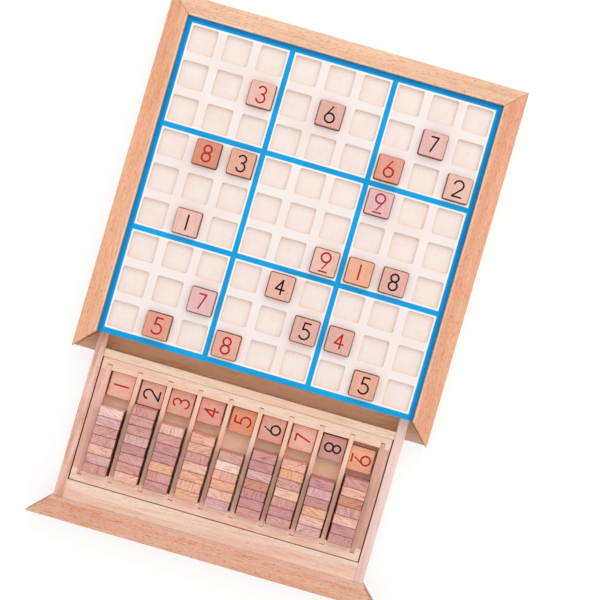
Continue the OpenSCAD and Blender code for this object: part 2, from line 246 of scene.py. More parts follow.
@dataclass(frozen=True)
class WoodFinish:
    """Sanded or varnished wood, with bands, lines and flecks along its fibres."""

    # Where noise turns into bands, lines and flecks, and what all woods share.
    BANDS: ClassVar[Span] = (0.3, 0.72)
    LINES: ClassVar[Span] = (0.42, 0.78)
    FLECKS: ClassVar[Span] = (0.54, 0.72)
    FLECK_MM: ClassVar[float] = 1.0
    FLECK_SHADE: ClassVar[float] = 0.54
    FLECK_SQUEEZE: ClassVar[Triple] = (4.2, 1.0, 1.0)
    LINE_DULLNESS: ClassVar[float] = 0.16
    RELIEF_MM: ClassVar[float] = 0.04
    # How much of the painted light the faces marked for it take.
    PAINTED_LIGHT_SHARE: ClassVar[float] = 0.7
    # What the ends multiply the colour by: darker end grain, partly painted shade on the mitred and cut ends.
    END_GRAIN_AND_SHADE: ClassVar[Triple] = (0.56, 0.42, 0.33)

    name: str  # The material's name.
    light: Rgb = (255, 255, 255)  # Colour of the pale wood.
    dark: Rgb = (255, 255, 255)  # Colour of the dark bands.
    fibre: Fibre = Fibre.ALONG_X  # The way that the fibres run.
    _: KW_ONLY
    band_mm: float = 14.0  # Width of the broad bands.
    line_mm: float = 1.3  # Width of the fine lines.
    line_shade: float = 0.76  # What the lines darken the colour to.
    flecks: float = 0.7  # How strong the short flecks are, from 0 to 1.
    warmth: Triple = (0.5, 1.15, 1.65)  # How much of the darkening red, green and blue take.
    stretch: float = 0.07  # What lengths along the fibres are multiplied by before patterns are read.
    roughness: float = 0.5  # How dull the surface is.
    gloss: float = 0.3  # How much light the surface mirrors.
    bare: Rgb = (255, 228, 208)  # Colour of the painted light on the faces that the mesh marks for it.

    def turn(self, shading: Shading) -> Any:
        """Gives the angle that brings the fibres onto X."""
        return math.radians(self.fibre.value)

    def tones(self, shading: Shading) -> tuple[Any, Any]:
        """Gives the pale and the dark wood colour."""
        return linear(self.light), linear(self.dark)

    def edges(self, shading: Shading, colour: Any) -> Any:
        """Paints light onto the faces that the mesh marks for it, and darkens the ends: darker end grain,
        partly painted shade.

        Args:
            shading: The material's tree.
            colour: The wood's colour.

        Returns:
            The changed colour.
        """
        # Painted light, as a paler colour, on the mouldings' flat tops and the drawer front's inner face.
        share = shading.math("MULTIPLY", shading.attribute("bare").outputs["Fac"], self.PAINTED_LIGHT_SHARE)
        paled = shading.mix(share, colour, linear(self.bare))
        return shading.multiply(shading.attribute("end_grain").outputs["Fac"], paled, self.END_GRAIN_AND_SHADE)

    def warm(self, shade: float) -> Triple:
        """Gives what red, green and blue are multiplied by to reach a warm shade."""
        red, green, blue = [1.0 - (1.0 - shade) * share for share in self.warmth]
        return red, green, blue

    def fibres(self, shading: Shading) -> NodeSocket:
        """Gives the point with the fibres on X and shrunk along them, so that patterns stretch.

        Args:
            shading: The material's tree.

        Returns:
            The point's socket.
        """
        shift = shading.attribute("grain_shift").outputs["Vector"]
        turned = shading.add("ShaderNodeVectorRotate", {
            "Vector": shading.vector("ADD", shading.place(), shift), "Angle": self.turn(shading),
        }, rotation_type="Z_AXIS")
        return shading.vector("MULTIPLY", turned.outputs[0], (self.stretch, 1.0, 1.0))

    def material(self) -> Material:
        """Builds the material.

        Returns:
            The finished material.
        """
        shading = Shading(self.name)
        point = self.fibres(shading)
        bands = shading.noise(point, 1 / (self.band_mm * MM), detail=2.0)
        lines = shading.noise(point, 1 / (self.line_mm * MM), detail=4.0, roughness=0.6)
        short = shading.vector("MULTIPLY", point, self.FLECK_SQUEEZE)
        specks = shading.noise(short, 1 / (self.FLECK_MM * MM), detail=1.0)
        colour = shading.mix(shading.between(bands, *self.BANDS), *self.tones(shading))
        colour = self.edges(shading, colour)
        colour = shading.multiply(shading.between(lines, *self.LINES), colour, self.warm(self.line_shade))
        fleck = shading.math("MULTIPLY", shading.between(specks, *self.FLECKS), self.flecks)
        colour = shading.multiply(fleck, colour, self.warm(self.FLECK_SHADE))
        rough = shading.rough(lines, self.LINE_DULLNESS, self.roughness - self.LINE_DULLNESS / 2)
        relief = shading.math("SUBTRACT", lines, fleck)
        return shading.surface(colour, rough, relief, self.RELIEF_MM * MM, self.gloss)


@dataclass(frozen=True)
class TileFinish(WoodFinish):
    """Wood of the tiles, whose tone, turn and darker saw-cut edges each tile's mesh carries; the darker edges
    are partly painted shade.
    """

    _: KW_ONLY
    warmth: Triple = (0.78, 1.18, 1.2)
    stretch: float = 0.1
    gloss: float = 0.1
    lift: Triple = (1.0, 1.0, 1.0)  # What the tone is multiplied by, to make up for the dark lines.
    band_shade: float = 0.96  # What the dark bands multiply the tone by.
    sides: Triple = (0.56, 0.42, 0.34)  # What the colour of the saw-cut sides is multiplied by: darker cut wood, partly painted shade.

    def turn(self, shading: Shading) -> Any:
        """Gives the tile's own angle."""
        return shading.attribute("grain_turn").outputs["Fac"]

    def tones(self, shading: Shading) -> tuple[Any, Any]:
        """Gives the tile's own tone and a darker one."""
        tone = shading.multiply(1.0, shading.attribute("tone").outputs["Color"], self.lift)
        return tone, shading.darken(1.0, tone, self.band_shade)

    def edges(self, shading: Shading, colour: Any) -> Any:
        """Darkens the saw-cut sides of a tile: darker cut wood, partly painted shade."""
        return shading.multiply(shading.attribute("sawn").outputs["Fac"], colour, self.sides)


@dataclass(frozen=True)
class InkFinish:
    """Paint in the cut numbers."""

    ink: Ink  # The paint's colour.

    def material(self) -> Material:
        """Builds the material: paint that is a little thinner in places.

        Returns:
            The finished material.
        """
        gain, haze, relief, gloss = 1.5, 0.02, 0.06 * MM, 0.15
        shading = Shading(f"{self.ink.name.lower()}_ink")
        thin = shading.noise(shading.place(), scale=900.0, detail=3.0, roughness=0.6)
        thick = linear(self.ink.value)
        pale = (*(min(1.0, value * gain + haze) for value in thick[:3]), 1.0)
        colour = shading.mix(shading.between(thin, 0.45, 0.85), thick, pale)
        rough = shading.rough(thin, spread=1.0, least=0.05)
        return shading.surface(colour, rough, thin, relief, gloss)


@dataclass(frozen=True)
class GridPaint:
    """White paint with blue lines on the grid sheet, with painted shade on the blue beside the mouldings."""

    top: float  # Level of the sheet's top, in metres.
    block_mm: float = 42.75  # From the middle to the lines between the blocks.
    line_mm: float = 2.2  # Half the width of those lines.
    border_mm: float = 126.2  # From the middle to the blue border.
    outline_mm: float = 1.5  # Width of the pure white line beside the blue.
    white: Rgb = (253, 243, 242)  # The paint between the pockets.
    outline: Rgb = (255, 254, 254)  # The paint beside the blue lines.
    blue: Rgb = (18, 170, 240)  # The lines.
    deep: Triple = (0.84, 0.84, 0.84)  # What the blue is multiplied by where it lies thick.
    frame_shade: Triple = (0.55, 0.68, 0.78)  # Painted shade: what the blue is multiplied by beside the three mouldings.
    cut: Rgb = (238, 218, 204)  # The bare edge of a pocket, below the paint.
    relief_mm: float = 0.05  # How uneven the paint is.
    gloss: float = 0.12  # How much light the paint mirrors.

    def material(self) -> Material:
        """Builds the material from how far a point lies from the nearest blue line.

        Returns:
            The finished material.
        """
        stray, soft, fade, shaded = 0.25 * MM, 0.1 * MM, 0.3 * MM, 2.5 * MM
        bare_end, paint_start = self.top - 0.06 * MM, self.top - 0.02 * MM
        border, outline = self.border_mm * MM, self.outline_mm * MM
        shading = Shading("grid_paint")
        place = shading.place()
        axes = shading.add("ShaderNodeSeparateXYZ", {0: place}).outputs
        sides = [shading.math("ABSOLUTE", axes[n]) for n in (0, 1)]
        inner = [
            shading.math("ABSOLUTE", shading.math("SUBTRACT", side, self.block_mm * MM)) for side in sides
        ]
        line = shading.math("SUBTRACT", shading.math("MINIMUM", *inner), self.line_mm * MM)
        rim = shading.math("SUBTRACT", border, shading.math("MAXIMUM", *sides))
        drift = shading.math("SUBTRACT", shading.noise(place, scale=350.0, detail=2.0), 0.5)
        wobble = shading.math("MULTIPLY", drift, stray)
        away = shading.math("ADD", shading.math("MINIMUM", line, rim), wobble)
        coat = shading.noise(place, scale=240.0, detail=4.0, roughness=0.6)
        patch = shading.noise(place, scale=26.0, detail=2.0)
        white = shading.darken(shading.between(patch, 0.4, 0.8), linear(self.white), to=0.975)
        painted = shading.mix(shading.between(away, outline, outline + fade), linear(self.outline), white)
        blue = shading.multiply(shading.between(patch, 0.35, 0.75), linear(self.blue), self.deep)
        # Painted shade: the blue darkens within a few millimetres of the left, right and back mouldings.
        to_frame = shading.math("MAXIMUM", sides[0], axes[1])
        blue = shading.multiply(shading.between(to_frame, border, border + shaded), blue, self.frame_shade)
        colour = shading.mix(shading.between(away, -soft, soft), blue, painted)
        colour = shading.mix(shading.between(axes[2], bare_end, paint_start), linear(self.cut), colour)
        rough = shading.rough(coat, spread=0.2, least=0.36)
        return shading.surface(colour, rough, coat, self.relief_mm * MM, self.gloss)


@dataclass(frozen=True)
class SheetPaint:
    """Off-white paint on the pockets' floors."""

    light: Rgb = (252, 240, 236)  # The paint where it lies thick.
    thin: Rgb = (249, 235, 228)  # The paint where the board shows through.

    def material(self) -> Material:
        """Builds the material: thin paint on pressed fibre.

        Returns:
            The finished material.
        """
        relief = 0.06 * MM
        shading = Shading("pocket_paint")
        place = shading.place()
        cloud = shading.noise(place, scale=60.0, detail=3.0)
        stretched = shading.vector("MULTIPLY", place, (1.0, 0.2, 1.0))
        fibre = shading.noise(stretched, scale=700.0, detail=3.0, roughness=0.6)
        colour = shading.mix(shading.between(cloud, 0.35, 0.75), linear(self.light), linear(self.thin))
        colour = shading.darken(shading.between(fibre, 0.5, 0.8), colour, to=0.985)
        rough = shading.rough(fibre, spread=0.2, least=0.5)
        return shading.surface(colour, rough, fibre, relief)


class Repeats(Wiring):
    """Geometry Nodes trees that repeat a shape."""

    WELD_MM: ClassVar[float] = 0.004

    def __init__(self, name: str, inputs: dict[str, str]) -> None:
        """Makes an empty tree with named inputs.

        Args:
            name: The tree's name.
            inputs: Socket type by input name.
        """
        group = bpy.data.node_groups.new(name, "GeometryNodeTree")
        super().__init__(group)
        group.interface.new_socket("Geometry", in_out="INPUT", socket_type="NodeSocketGeometry")
        group.interface.new_socket("Geometry", in_out="OUTPUT", socket_type="NodeSocketGeometry")
        self.identifiers = {
            label: group.interface.new_socket(label, in_out="INPUT", socket_type=kind).identifier
            for label, kind in inputs.items()
        }
        self.entry = self.add("NodeGroupInput").outputs

    def close(self, points: Any, shape: Any, turn: Any = (0.0, 0.0, 0.0)) -> None:
        """Puts the shape on the points, makes it plain mesh and gives it its material.

        Args:
            points: The points' socket.
            shape: The shape's socket.
            turn: How each copy is turned.
        """
        copies = self.add("GeometryNodeInstanceOnPoints", {
            "Points": points, "Instance": shape, "Rotation": turn,
        })
        mesh = self.add("GeometryNodeRealizeInstances", {"Geometry": copies.outputs[0]})
        welded = self.add("GeometryNodeMergeByDistance", {
            "Geometry": mesh.outputs[0], "Distance": self.WELD_MM * MM,
        })
        dressed = self.add("GeometryNodeSetMaterial", {
            "Geometry": welded.outputs[0], "Material": self.entry["Material"],
        })
        self.add("NodeGroupOutput", {0: dressed.outputs[0]})

    def apply(self, name: str, mesh: Mesh, values: dict[str, Any]) -> Mesh:
        """Runs the tree on a mesh.

        Args:
            name: Name of the new mesh.
            mesh: What the tree starts from.
            values: Value by input name.

        Returns:
            The plain mesh that comes out.
        """
        carrier = linked(f"{name}_carrier", mesh)
        modifier = carrier.modifiers.new("repeats", "NODES")
        modifier.node_group = self.tree
        for label, value in values.items():
            modifier[self.identifiers[label]] = value
        carrier.update_tag()
        graph = bpy.context.evaluated_depsgraph_get()
        made = bpy.data.meshes.new_from_object(
            carrier.evaluated_get(graph), preserve_all_data_layers=True, depsgraph=graph
        )
        made.name = name
        made.materials.clear()
        made.materials.append(values["Material"])
        made.polygons.foreach_set("material_index", [0] * len(made.polygons))
        carrier.modifiers.clear()
        bpy.data.objects.remove(carrier)
        bpy.data.meshes.remove(mesh)
        return made


class EasedBlocks(Repeats):
    """Blocks with round corners and eased edges, one on each point."""

    ARC_POINTS: ClassVar[int] = 4

    def __init__(self) -> None:
        """Builds the tree: a filled outline that rises in three steps, drawn in at the first and the last."""
        super().__init__("eased_blocks", {
            "Size": "NodeSocketVector", "Corner": "NodeSocketFloat", "Ease": "NodeSocketFloat",
            "Turn": "NodeSocketVector", "Material": "NodeSocketMaterial",
        })
        size = self.add("ShaderNodeSeparateXYZ", {0: self.entry["Size"]}).outputs
        ease = self.entry["Ease"]
        outline = self.add("GeometryNodeCurvePrimitiveQuadrilateral", {"Width": size[0], "Height": size[1]})
        rounded = self.add("GeometryNodeFilletCurve", {
            "Curve": outline.outputs[0], "Count": self.ARC_POINTS,
            "Radius": self.entry["Corner"], "Limit Radius": True,
        }, mode="POLY")
        filled = self.add("GeometryNodeFillCurve", {"Curve": rounded.outputs[0]}, mode="NGONS")
        foot = self.draw_in(filled.outputs[0], True, -1.0)
        body, top = self.rise(foot, True, ease)
        body = self.draw_in(body, top, 1.0)
        straight = self.math("SUBTRACT", size[2], self.math("MULTIPLY", ease, 2.0))
        for height in (straight, ease):
            body, top = self.rise(body, top, height)
        head = self.draw_in(body, top, -1.0)
        sole = self.add("GeometryNodeFlipFaces", {"Mesh": foot}).outputs[0]
        joined = self.add("GeometryNodeJoinGeometry")
        for part in (head, sole):
            self.feed(joined.inputs[0], part)
        self.close(self.entry["Geometry"], joined.outputs[0], self.entry["Turn"])

    def draw_in(self, mesh: Any, chosen: Any, way: float) -> NodeSocket:
        """Moves an outline in or out by the ease.

        Args:
            mesh: The mesh's socket.
            chosen: Which faces move, or True for all.
            way: 1 for out, -1 for in.

        Returns:
            The mesh's socket.
        """
        corner = self.vector("SIGN", self.add("GeometryNodeInputPosition").outputs[0])
        flat = self.vector("MULTIPLY", corner, (way, way, 0.0))
        step = self.add("ShaderNodeVectorMath", {0: flat, "Scale": self.entry["Ease"]}, operation="SCALE")
        return self.add("GeometryNodeSetPosition", {
            "Geometry": mesh, "Selection": chosen, "Offset": step.outputs[0],
        }).outputs[0]

    def rise(self, mesh: Any, chosen: Any, height: Any) -> tuple[NodeSocket, NodeSocket]:
        """Raises the chosen faces, or all for True, and gives the mesh's socket and that of its new top."""
        outputs = self.add("GeometryNodeExtrudeMesh", {
            "Mesh": mesh, "Selection": chosen, "Offset": UP, "Offset Scale": height, "Individual": False,
        }, mode="FACES").outputs
        return outputs["Mesh"], outputs["Top"]


class CellGrid(Repeats):
    """Copies of one cell on a square grid."""

    def __init__(self) -> None:
        """Builds the tree."""
        super().__init__("cell_grid", {
            "Count": "NodeSocketInt", "Pitch": "NodeSocketFloat", "Material": "NodeSocketMaterial",
        })
        count = self.entry["Count"]
        side = self.math("MULTIPLY", self.math("SUBTRACT", count, 1.0), self.entry["Pitch"])
        grid = self.add("GeometryNodeMeshGrid", {
            "Size X": side, "Size Y": side, "Vertices X": count, "Vertices Y": count,
        })
        self.close(grid.outputs["Mesh"], self.entry["Geometry"])


def linked(name: str, data: ID) -> Object:
    """Puts a new object in the scene.

    Args:
        name: The object's name.
        data: Its mesh, light or camera.

    Returns:
        The object.
    """
    thing = bpy.data.objects.new(name, data)
    bpy.context.scene.collection.objects.link(thing)
    return thing


def carry(mesh: Mesh, name: str, values: list[Any], domain: str = "POINT") -> None:
    """Gives a mesh values that its material reads.

    Args:
        mesh: The mesh.
        name: The values' name.
        values: Numbers, vectors or colours, one for each point or face, or one for all of them.
        domain: POINT or FACE.
    """
    size = 1 if isinstance(values[0], float) else len(values[0])
    kind, key = {1: ("FLOAT", "value"), 3: ("FLOAT_VECTOR", "vector"), 4: ("FLOAT_COLOR", "color")}[size]
    for number, place in enumerate(mesh.attributes.new(name, kind, domain).data):
        setattr(place, key, values[number % len(values)])


def shift_of(number: int) -> Vector:
    """Gives a piece its own stretch of grain, far from the others'."""
    return Vector([number * step % 1.0 for step in GRAIN_STEPS])


def merged(node: str) -> BMesh:
    """Copies a CAD node's mesh with its loose triangles merged into flat faces.

    Args:
        node: The node's name.

    Returns:
        The merged copy.
    """
    shape = bmesh.new()
    shape.from_mesh(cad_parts[node].data)
    bmesh.ops.remove_doubles(shape, verts=shape.verts, dist=WELD)
    bmesh.ops.dissolve_limit(
        shape, angle_limit=FLAT_ANGLE, use_dissolve_boundaries=False, verts=shape.verts, edges=shape.edges
    )
    return shape


def ease(shape: BMesh, edges: list[BMEdge], width_mm: float) -> None:
    """Eases edges of a shape with two narrow facets each."""
    bmesh.ops.bevel(
        shape, geom=edges, offset=width_mm * MM, segments=2, profile=0.5, affect="EDGES", clamp_overlap=True
    )


def settle(shape: BMesh, mesh: Mesh) -> None:
    """Writes a shape to a mesh and lets the shape go."""
    shape.to_mesh(mesh)
    shape.free()


def face_out(mesh: Mesh) -> None:
    """Turns the faces of a mesh of closed shapes outwards.

    Args:
        mesh: The mesh.
    """
    shape = bmesh.new()
    shape.from_mesh(mesh)
    bmesh.ops.recalc_face_normals(shape, faces=shape.faces)
    settle(shape, mesh)


def solid_boxes(node: str) -> list[Box]:
    """Finds the box of each separate solid in a CAD node.

    Args:
        node: The node's name.

    Returns:
        The lowest and highest corner of each, from the front left on.
    """
    shape = merged(node)
    left, found = set(shape.verts), []
    while left:
        group, edge = set(), [left.pop()]
        while edge:
            vert = edge.pop()
            group.add(vert)
            near = {line.other_vert(vert) for line in vert.link_edges} & left
            left -= near
            edge.extend(near)
        places = [vert.co.copy() for vert in group]
        low = Vector([min(place[n] for place in places) for n in range(3)])
        high = Vector([max(place[n] for place in places) for n in range(3)])
        found.append((low, high))
    shape.free()
    return sorted(found, key=lambda box: (round(box[0].y, 4), box[0].x))


def show(mesh: Mesh, name: str, body: str, slot: str, *nodes: str) -> None:
    """Puts a mesh in the scene as the piece that stands for CAD nodes.

    Args:
        mesh: The finished mesh.
        name: The piece's name.
        body: The CAD body that it moves with.
        slot: The record's material slot; not used.
        *nodes: The CAD nodes that it stands for.
    """
    piece = linked(name, mesh)
    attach(piece, body)
    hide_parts(*nodes)
    LOG.info("%s: %d faces on %s", name, len(mesh.polygons), body)


def eased(
    node: str, body: str, slot: str, finish: Material, ease_mm: float, number: int,
    bare: tuple[Vector, ...] = (),
) -> None:
    """Shows a CAD node with its sharp edges eased.

    Args:
        node: The node's name.
        body: The CAD body that it moves with.
        slot: The record's material slot.
        finish: Its material.
        ease_mm: How wide the eased edges are.
        number: Which stretch of grain it has.
        bare: The ways that the faces which get painted light look.
    """
    squarely, mostly = 0.97, 0.6
    shape = merged(node)
    lines = [line for line in shape.edges if line.is_manifold and line.calc_face_angle(0.0) > SHARP_ANGLE]
    ease(shape, lines, ease_mm)
    mesh = bpy.data.meshes.new(f"{node}_eased")
    settle(shape, mesh)
    mesh.materials.append(finish)
    low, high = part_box(node)
    length = int(high.y - low.y > high.x - low.x)
    normals = [face.normal.copy() for face in mesh.polygons]
    carry(mesh, "grain_shift", [shift_of(number)])
    # Faces that look squarely one of the given ways get painted light.
    carry(mesh, "bare", [float(any(way.dot(normal) > squarely for way in bare)) for normal in normals], "FACE")
    # Faces at either end of the piece darken: end grain, partly painted shade.
    carry(mesh, "end_grain", [float(abs(normal[length]) > mostly) for normal in normals], "FACE")
    show(mesh, f"{node}_eased", body, slot, node)


def dress(node: str, finish: Material) -> None:
    """Gives a CAD node a finish in place of its plain colour.

    Args:
        node: The node's name.
        finish: Its material.
    """
    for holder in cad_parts[node].material_slots:
        holder.material = finish
    LOG.info("%s: finished as it is", node)


@dataclass
class Case:
    """The frame, the base and the grid."""

    ease_mm: float = 0.6  # Width of the mouldings' eased edges.
    pocket_mm: float = 21.0  # Width of a pocket.
    pitch_mm: float = 28.5  # From one pocket to the next.
    corner_mm: float = 1.5  # Radius of a pocket's corners.
    rim_mm: float = 0.35  # Width of a pocket's eased rim.
    rim_bend: float = 0.3  # Where the rim's middle bend lies, as a share of its width.
    count: int = 9  # Pockets a side.
    arc_steps: int = 5  # Edges in a pocket's corner.

    def build(self) -> None:
        """Makes and dresses every piece of the case."""
        # The mouldings are one beech; their tones differ partly as painted light and shade, for the way each
        # slope faces the light.
        left = WoodFinish("left_beech", (255, 198, 161), (246, 182, 145), Fibre.ALONG_Y, line_shade=0.7)
        right = WoodFinish(
            "right_beech", (248, 189, 155), (238, 174, 140), Fibre.ALONG_Y, bare=(252, 212, 186)
        )
        back = WoodFinish("back_beech", (246, 207, 178), (235, 189, 159), Fibre.ALONG_X, line_shade=0.7)
        # Painted light on the mouldings' flat tops, which face up.
        for number, (side, finish) in enumerate({"left": left, "right": right, "back": back}.items()):
            eased(f"{side}_moulding", "case", "frame_wood", finish.material(), self.ease_mm, number, (UP,))
        base = WoodFinish(
            "base_board", (252, 226, 202), (244, 210, 182), Fibre.ALONG_X,
            band_mm=22.0, line_mm=1.6, flecks=0.25, roughness=0.6,
        )
        dress("base_panel", base.material())
        dress("board_backing", SheetPaint().material())
        self.build_grid()

    def rounded(self, half: float, height: float, shape: BMesh) -> list[BMVert]:
        """Lays a round-cornered loop in a mesh.

        Args:
            half: Half its width, in metres.
            height: Its level.
            shape: The mesh.

        Returns:
            Its corners, counter-clockwise from the right-hand end of the first corner.
        """
        radius = self.corner_mm * MM
        loop = []
        for corner, (x, y) in enumerate(CORNERS):
            for step in range(self.arc_steps + 1):
                angle = math.pi / 2 * (corner + step / self.arc_steps)
                loop.append(shape.verts.new((
                    x * (half - radius) + radius * math.cos(angle),
                    y * (half - radius) + radius * math.sin(angle),
                    height,
                )))
        return loop

    def plate(self, shape: BMesh, loop: list[BMVert], height: float, up: bool) -> None:
        """Fills between a loop and the square cell round it.

        Args:
            shape: The mesh.
            loop: The loop.
            height: The level.
            up: Whether the plate faces up.
        """
        half, steps = self.pitch_mm * MM / 2, self.arc_steps + 1
        corners = [shape.verts.new((x * half, y * half, height)) for x, y in CORNERS]
        for corner, outer in enumerate(corners):
            arc = loop[corner * steps:(corner + 1) * steps]
            following = loop[(corner + 1) * steps % len(loop)]
            faces = [(first, outer, second) for first, second in zip(arc, arc[1:])]
            faces.append((arc[-1], outer, corners[(corner + 1) % 4], following))
            for face in faces:
                shape.faces.new(face if up else face[::-1])

    def cell(self, low: float, high: float) -> Mesh:
        """Makes one cell of the grid with its pocket.

        Args:
            low: Level of the sheet's underside.
            high: Level of its top.

        Returns:
            The cell's mesh, its middle on the Z axis.
        """
        shape = bmesh.new()
        half, rim = self.pocket_mm * MM / 2, self.rim_mm * MM
        bend = self.rim_bend * rim
        loops = [
            self.rounded(half + rim, high, shape),
            self.rounded(half + bend, high - bend, shape),
            self.rounded(half, high - rim, shape),
            self.rounded(half, low, shape),
        ]
        self.plate(shape, loops[0], high, True)
        self.plate(shape, loops[-1], low, False)
        for upper, lower in zip(loops, loops[1:]):
            for step in range(len(upper)):
                after = (step + 1) % len(upper)
                shape.faces.new((upper[step], upper[after], lower[after], lower[step]))
        mesh = bpy.data.meshes.new("grid_cell")
        settle(shape, mesh)
        return mesh

    def margin(self, shape: BMesh, low: Vector, high: Vector) -> None:
        """Adds the sheet's margin round the cells.

        Args:
            shape: The mesh that holds the cells.
            low: Lowest corner of the sheet.
            high: Highest corner of the sheet.
        """
        half = self.count * self.pitch_mm * MM / 2
        ways = [Matrix.Rotation(math.pi / 2 * turn, 3, "Z") for turn in range(4)]
        steps = [half - self.pitch_mm * MM * step for step in range(self.count + 1)]
        rings = []
        for level, up in ((high.z, True), (low.z, False)):
            outer = [shape.verts.new((x, y, level)) for x, y in
                     ((high.x, high.y), (low.x, high.y), (low.x, low.y), (high.x, low.y))]
            rings.append(outer)
            for side, way in enumerate(ways):
                inner = [shape.verts.new(way @ Vector((step, half, level))) for step in steps]
                face = [outer[side], outer[(side + 1) % 4], *inner[::-1]]
                shape.faces.new(face if up else face[::-1])
        for side in range(4):
            after = (side + 1) % 4
            shape.faces.new((rings[0][side], rings[1][side], rings[1][after], rings[0][after]))

    def build_grid(self) -> None:
        """Makes the grid sheet: repeated cells and the margin round them."""
        low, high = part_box("board_grid")
        paint = GridPaint(high.z).material()
        mesh = CellGrid().apply("board_grid_painted", self.cell(low.z, high.z), {
            "Count": self.count, "Pitch": self.pitch_mm * MM, "Material": paint,
        })
        shape = bmesh.new()
        shape.from_mesh(mesh)
        self.margin(shape, low, high)
        bmesh.ops.remove_doubles(shape, verts=shape.verts, dist=NEAR)
        bmesh.ops.recalc_face_normals(shape, faces=shape.faces)
        settle(shape, mesh)
        show(mesh, "board_grid_painted", "case", "grid_sheet", "board_grid")


@dataclass
class Drawer:
    """The drawer's walls, floor and sloped front."""

    front_ease_mm: float = 0.6  # Width of the front moulding's eased edges.
    wall_ease_mm: float = 0.4  # Width of the walls' eased edges.
    grain: int = 11  # Which stretch of grain the front moulding has; the walls' follow.

    def build(self) -> None:
        """Makes and dresses every piece of the drawer."""
        # This beech tone, like the case mouldings', is partly painted light and shade for the way its slope
        # faces.
        front = WoodFinish(
            "drawer_front_beech", (248, 195, 171), (239, 177, 151), Fibre.ALONG_X,
            flecks=0.9, line_shade=0.66, bare=(238, 214, 204),
        ).material()
        pale = WoodFinish(
            "drawer_pale_wood", (253, 234, 220), (247, 213, 197), Fibre.ALONG_X,
            band_mm=9.0, line_mm=1.5, flecks=0.3, roughness=0.55,
        )
        rail = replace(pale, name="cross_rail_wood", light=(255, 234, 213), dark=(255, 217, 191), flecks=0.2)
        rosy = WoodFinish(
            "left_wall_wood", (249, 211, 199), (231, 183, 169), Fibre.ALONG_Y,
            band_mm=4.0, line_mm=1.8, flecks=0.4, roughness=0.55, line_shade=0.58,
        )
        pink = WoodFinish(
            "right_wall_wood", (250, 225, 219), (243, 211, 203), Fibre.ALONG_Y,
            band_mm=7.0, line_mm=1.4, flecks=0.2, roughness=0.55, line_shade=0.82,
        )
        floor = WoodFinish(
            "drawer_floor_board", (255, 211, 176), (249, 193, 154), Fibre.ALONG_X,
            band_mm=24.0, line_mm=1.8, flecks=0.2, roughness=0.6, gloss=0.15,
        )
        # Painted light on the front moulding's inner face, which faces the back.
        eased("drawer_front_moulding", "drawer", "frame_wood", front, self.front_ease_mm, self.grain, (BACK,))
        walls = {
            "front_wall": pale, "back_wall": pale, "cross_rail": rail, "left_wall": rosy, "right_wall": pink,
        }
        made = {finish: finish.material() for finish in (pale, rail, rosy, pink)}
        for number, (name, finish) in enumerate(walls.items(), self.grain + 1):
            eased(f"drawer_{name}", "drawer", "drawer_wood", made[finish], self.wall_ease_mm, number)
        dress("drawer_floor", floor.material())


@dataclass
class Tray:
    """The divided insert in the drawer."""

    ease_mm: float = 0.12  # Width of the eased edges.
    corner_mm: float = 0.1  # Radius of the dividers' upright corners.
    rail_grain: int = 21  # Which stretch of grain the first rail has; the others' follow.
    divider_grain: int = 31  # Which stretch the first divider has; the others' follow.

    def build(self, blocks: EasedBlocks) -> None:
        """Makes and dresses every piece of the tray.

        Args:
            blocks: What makes the dividers.
        """
        back = WoodFinish(
            "tray_back_wood", (255, 228, 211), (252, 210, 189), Fibre.ALONG_X,
            band_mm=8.0, line_mm=1.4, flecks=0.25, roughness=0.6, gloss=0.12,
        )
        # Painted light: the front rail is a lighter copy of the back rail's wood, against the shade of the
        # drawer's front wall.
        front = replace(back, name="tray_front_wood", light=(255, 231, 217), dark=(255, 219, 201))
        left = replace(
            back, name="tray_left_wood", light=(245, 204, 190), dark=(234, 181, 165), fibre=Fibre.ALONG_Y,
            band_mm=6.0, flecks=0.3,
        )
        # Painted shade: the right rail is a darker copy of the left rail's wood, for the shade beside the last
        # stack.
        right = replace(left, name="tray_right_wood", light=(232, 191, 177), dark=(221, 168, 152))
        floor = replace(
            back, name="tray_floor_board", light=(255, 230, 204), dark=(255, 220, 192),
            band_mm=24.0, line_mm=1.8, flecks=0.2, line_shade=0.92,
        )
        pale = replace(
            left, name="divider_wood", light=(255, 220, 201), dark=(255, 205, 184),
            band_mm=5.0, line_mm=1.2, flecks=0.15,
        )
        rails = {"back": back, "front": front, "left": left, "right": right}
        for number, (side, finish) in enumerate(rails.items(), self.rail_grain):
            eased(f"tray_{side}_rail", "tray", "tray_wood", finish.material(), self.ease_mm, number)
        dress("tray_floor", floor.material())
        self.dividers(blocks, pale.material())

    def dividers(self, blocks: EasedBlocks, finish: Material) -> None:
        """Makes the dividers on the places that the CAD gives.

        Args:
            blocks: What makes eased blocks.
            finish: Their material.
        """
        boxes = solid_boxes("tray_dividers")
        feet = [Vector(((low.x + high.x) / 2, (low.y + high.y) / 2, low.z)) for low, high in boxes]
        mesh = bpy.data.meshes.new("divider_places")
        mesh.from_pydata(feet, [], [])
        carry(mesh, "grain_shift", [shift_of(self.divider_grain + number) for number in range(len(feet))])
        made = blocks.apply("tray_dividers_eased", mesh, {
            "Size": boxes[0][1] - boxes[0][0], "Corner": self.corner_mm * MM, "Ease": self.ease_mm * MM,
            "Turn": (0.0, 0.0, 0.0), "Material": finish,
        })
        face_out(made)
        show(made, "tray_dividers_eased", "tray", "tray_wood", "tray_dividers")


@dataclass(frozen=True)
class TileLook:
    """How one lying tile looks."""

    node: str  # The CAD node.
    ink: Ink  # The paint in its number.
    tone: Tone  # Its wood.
    turn: float  # The angle of its grain, in degrees.


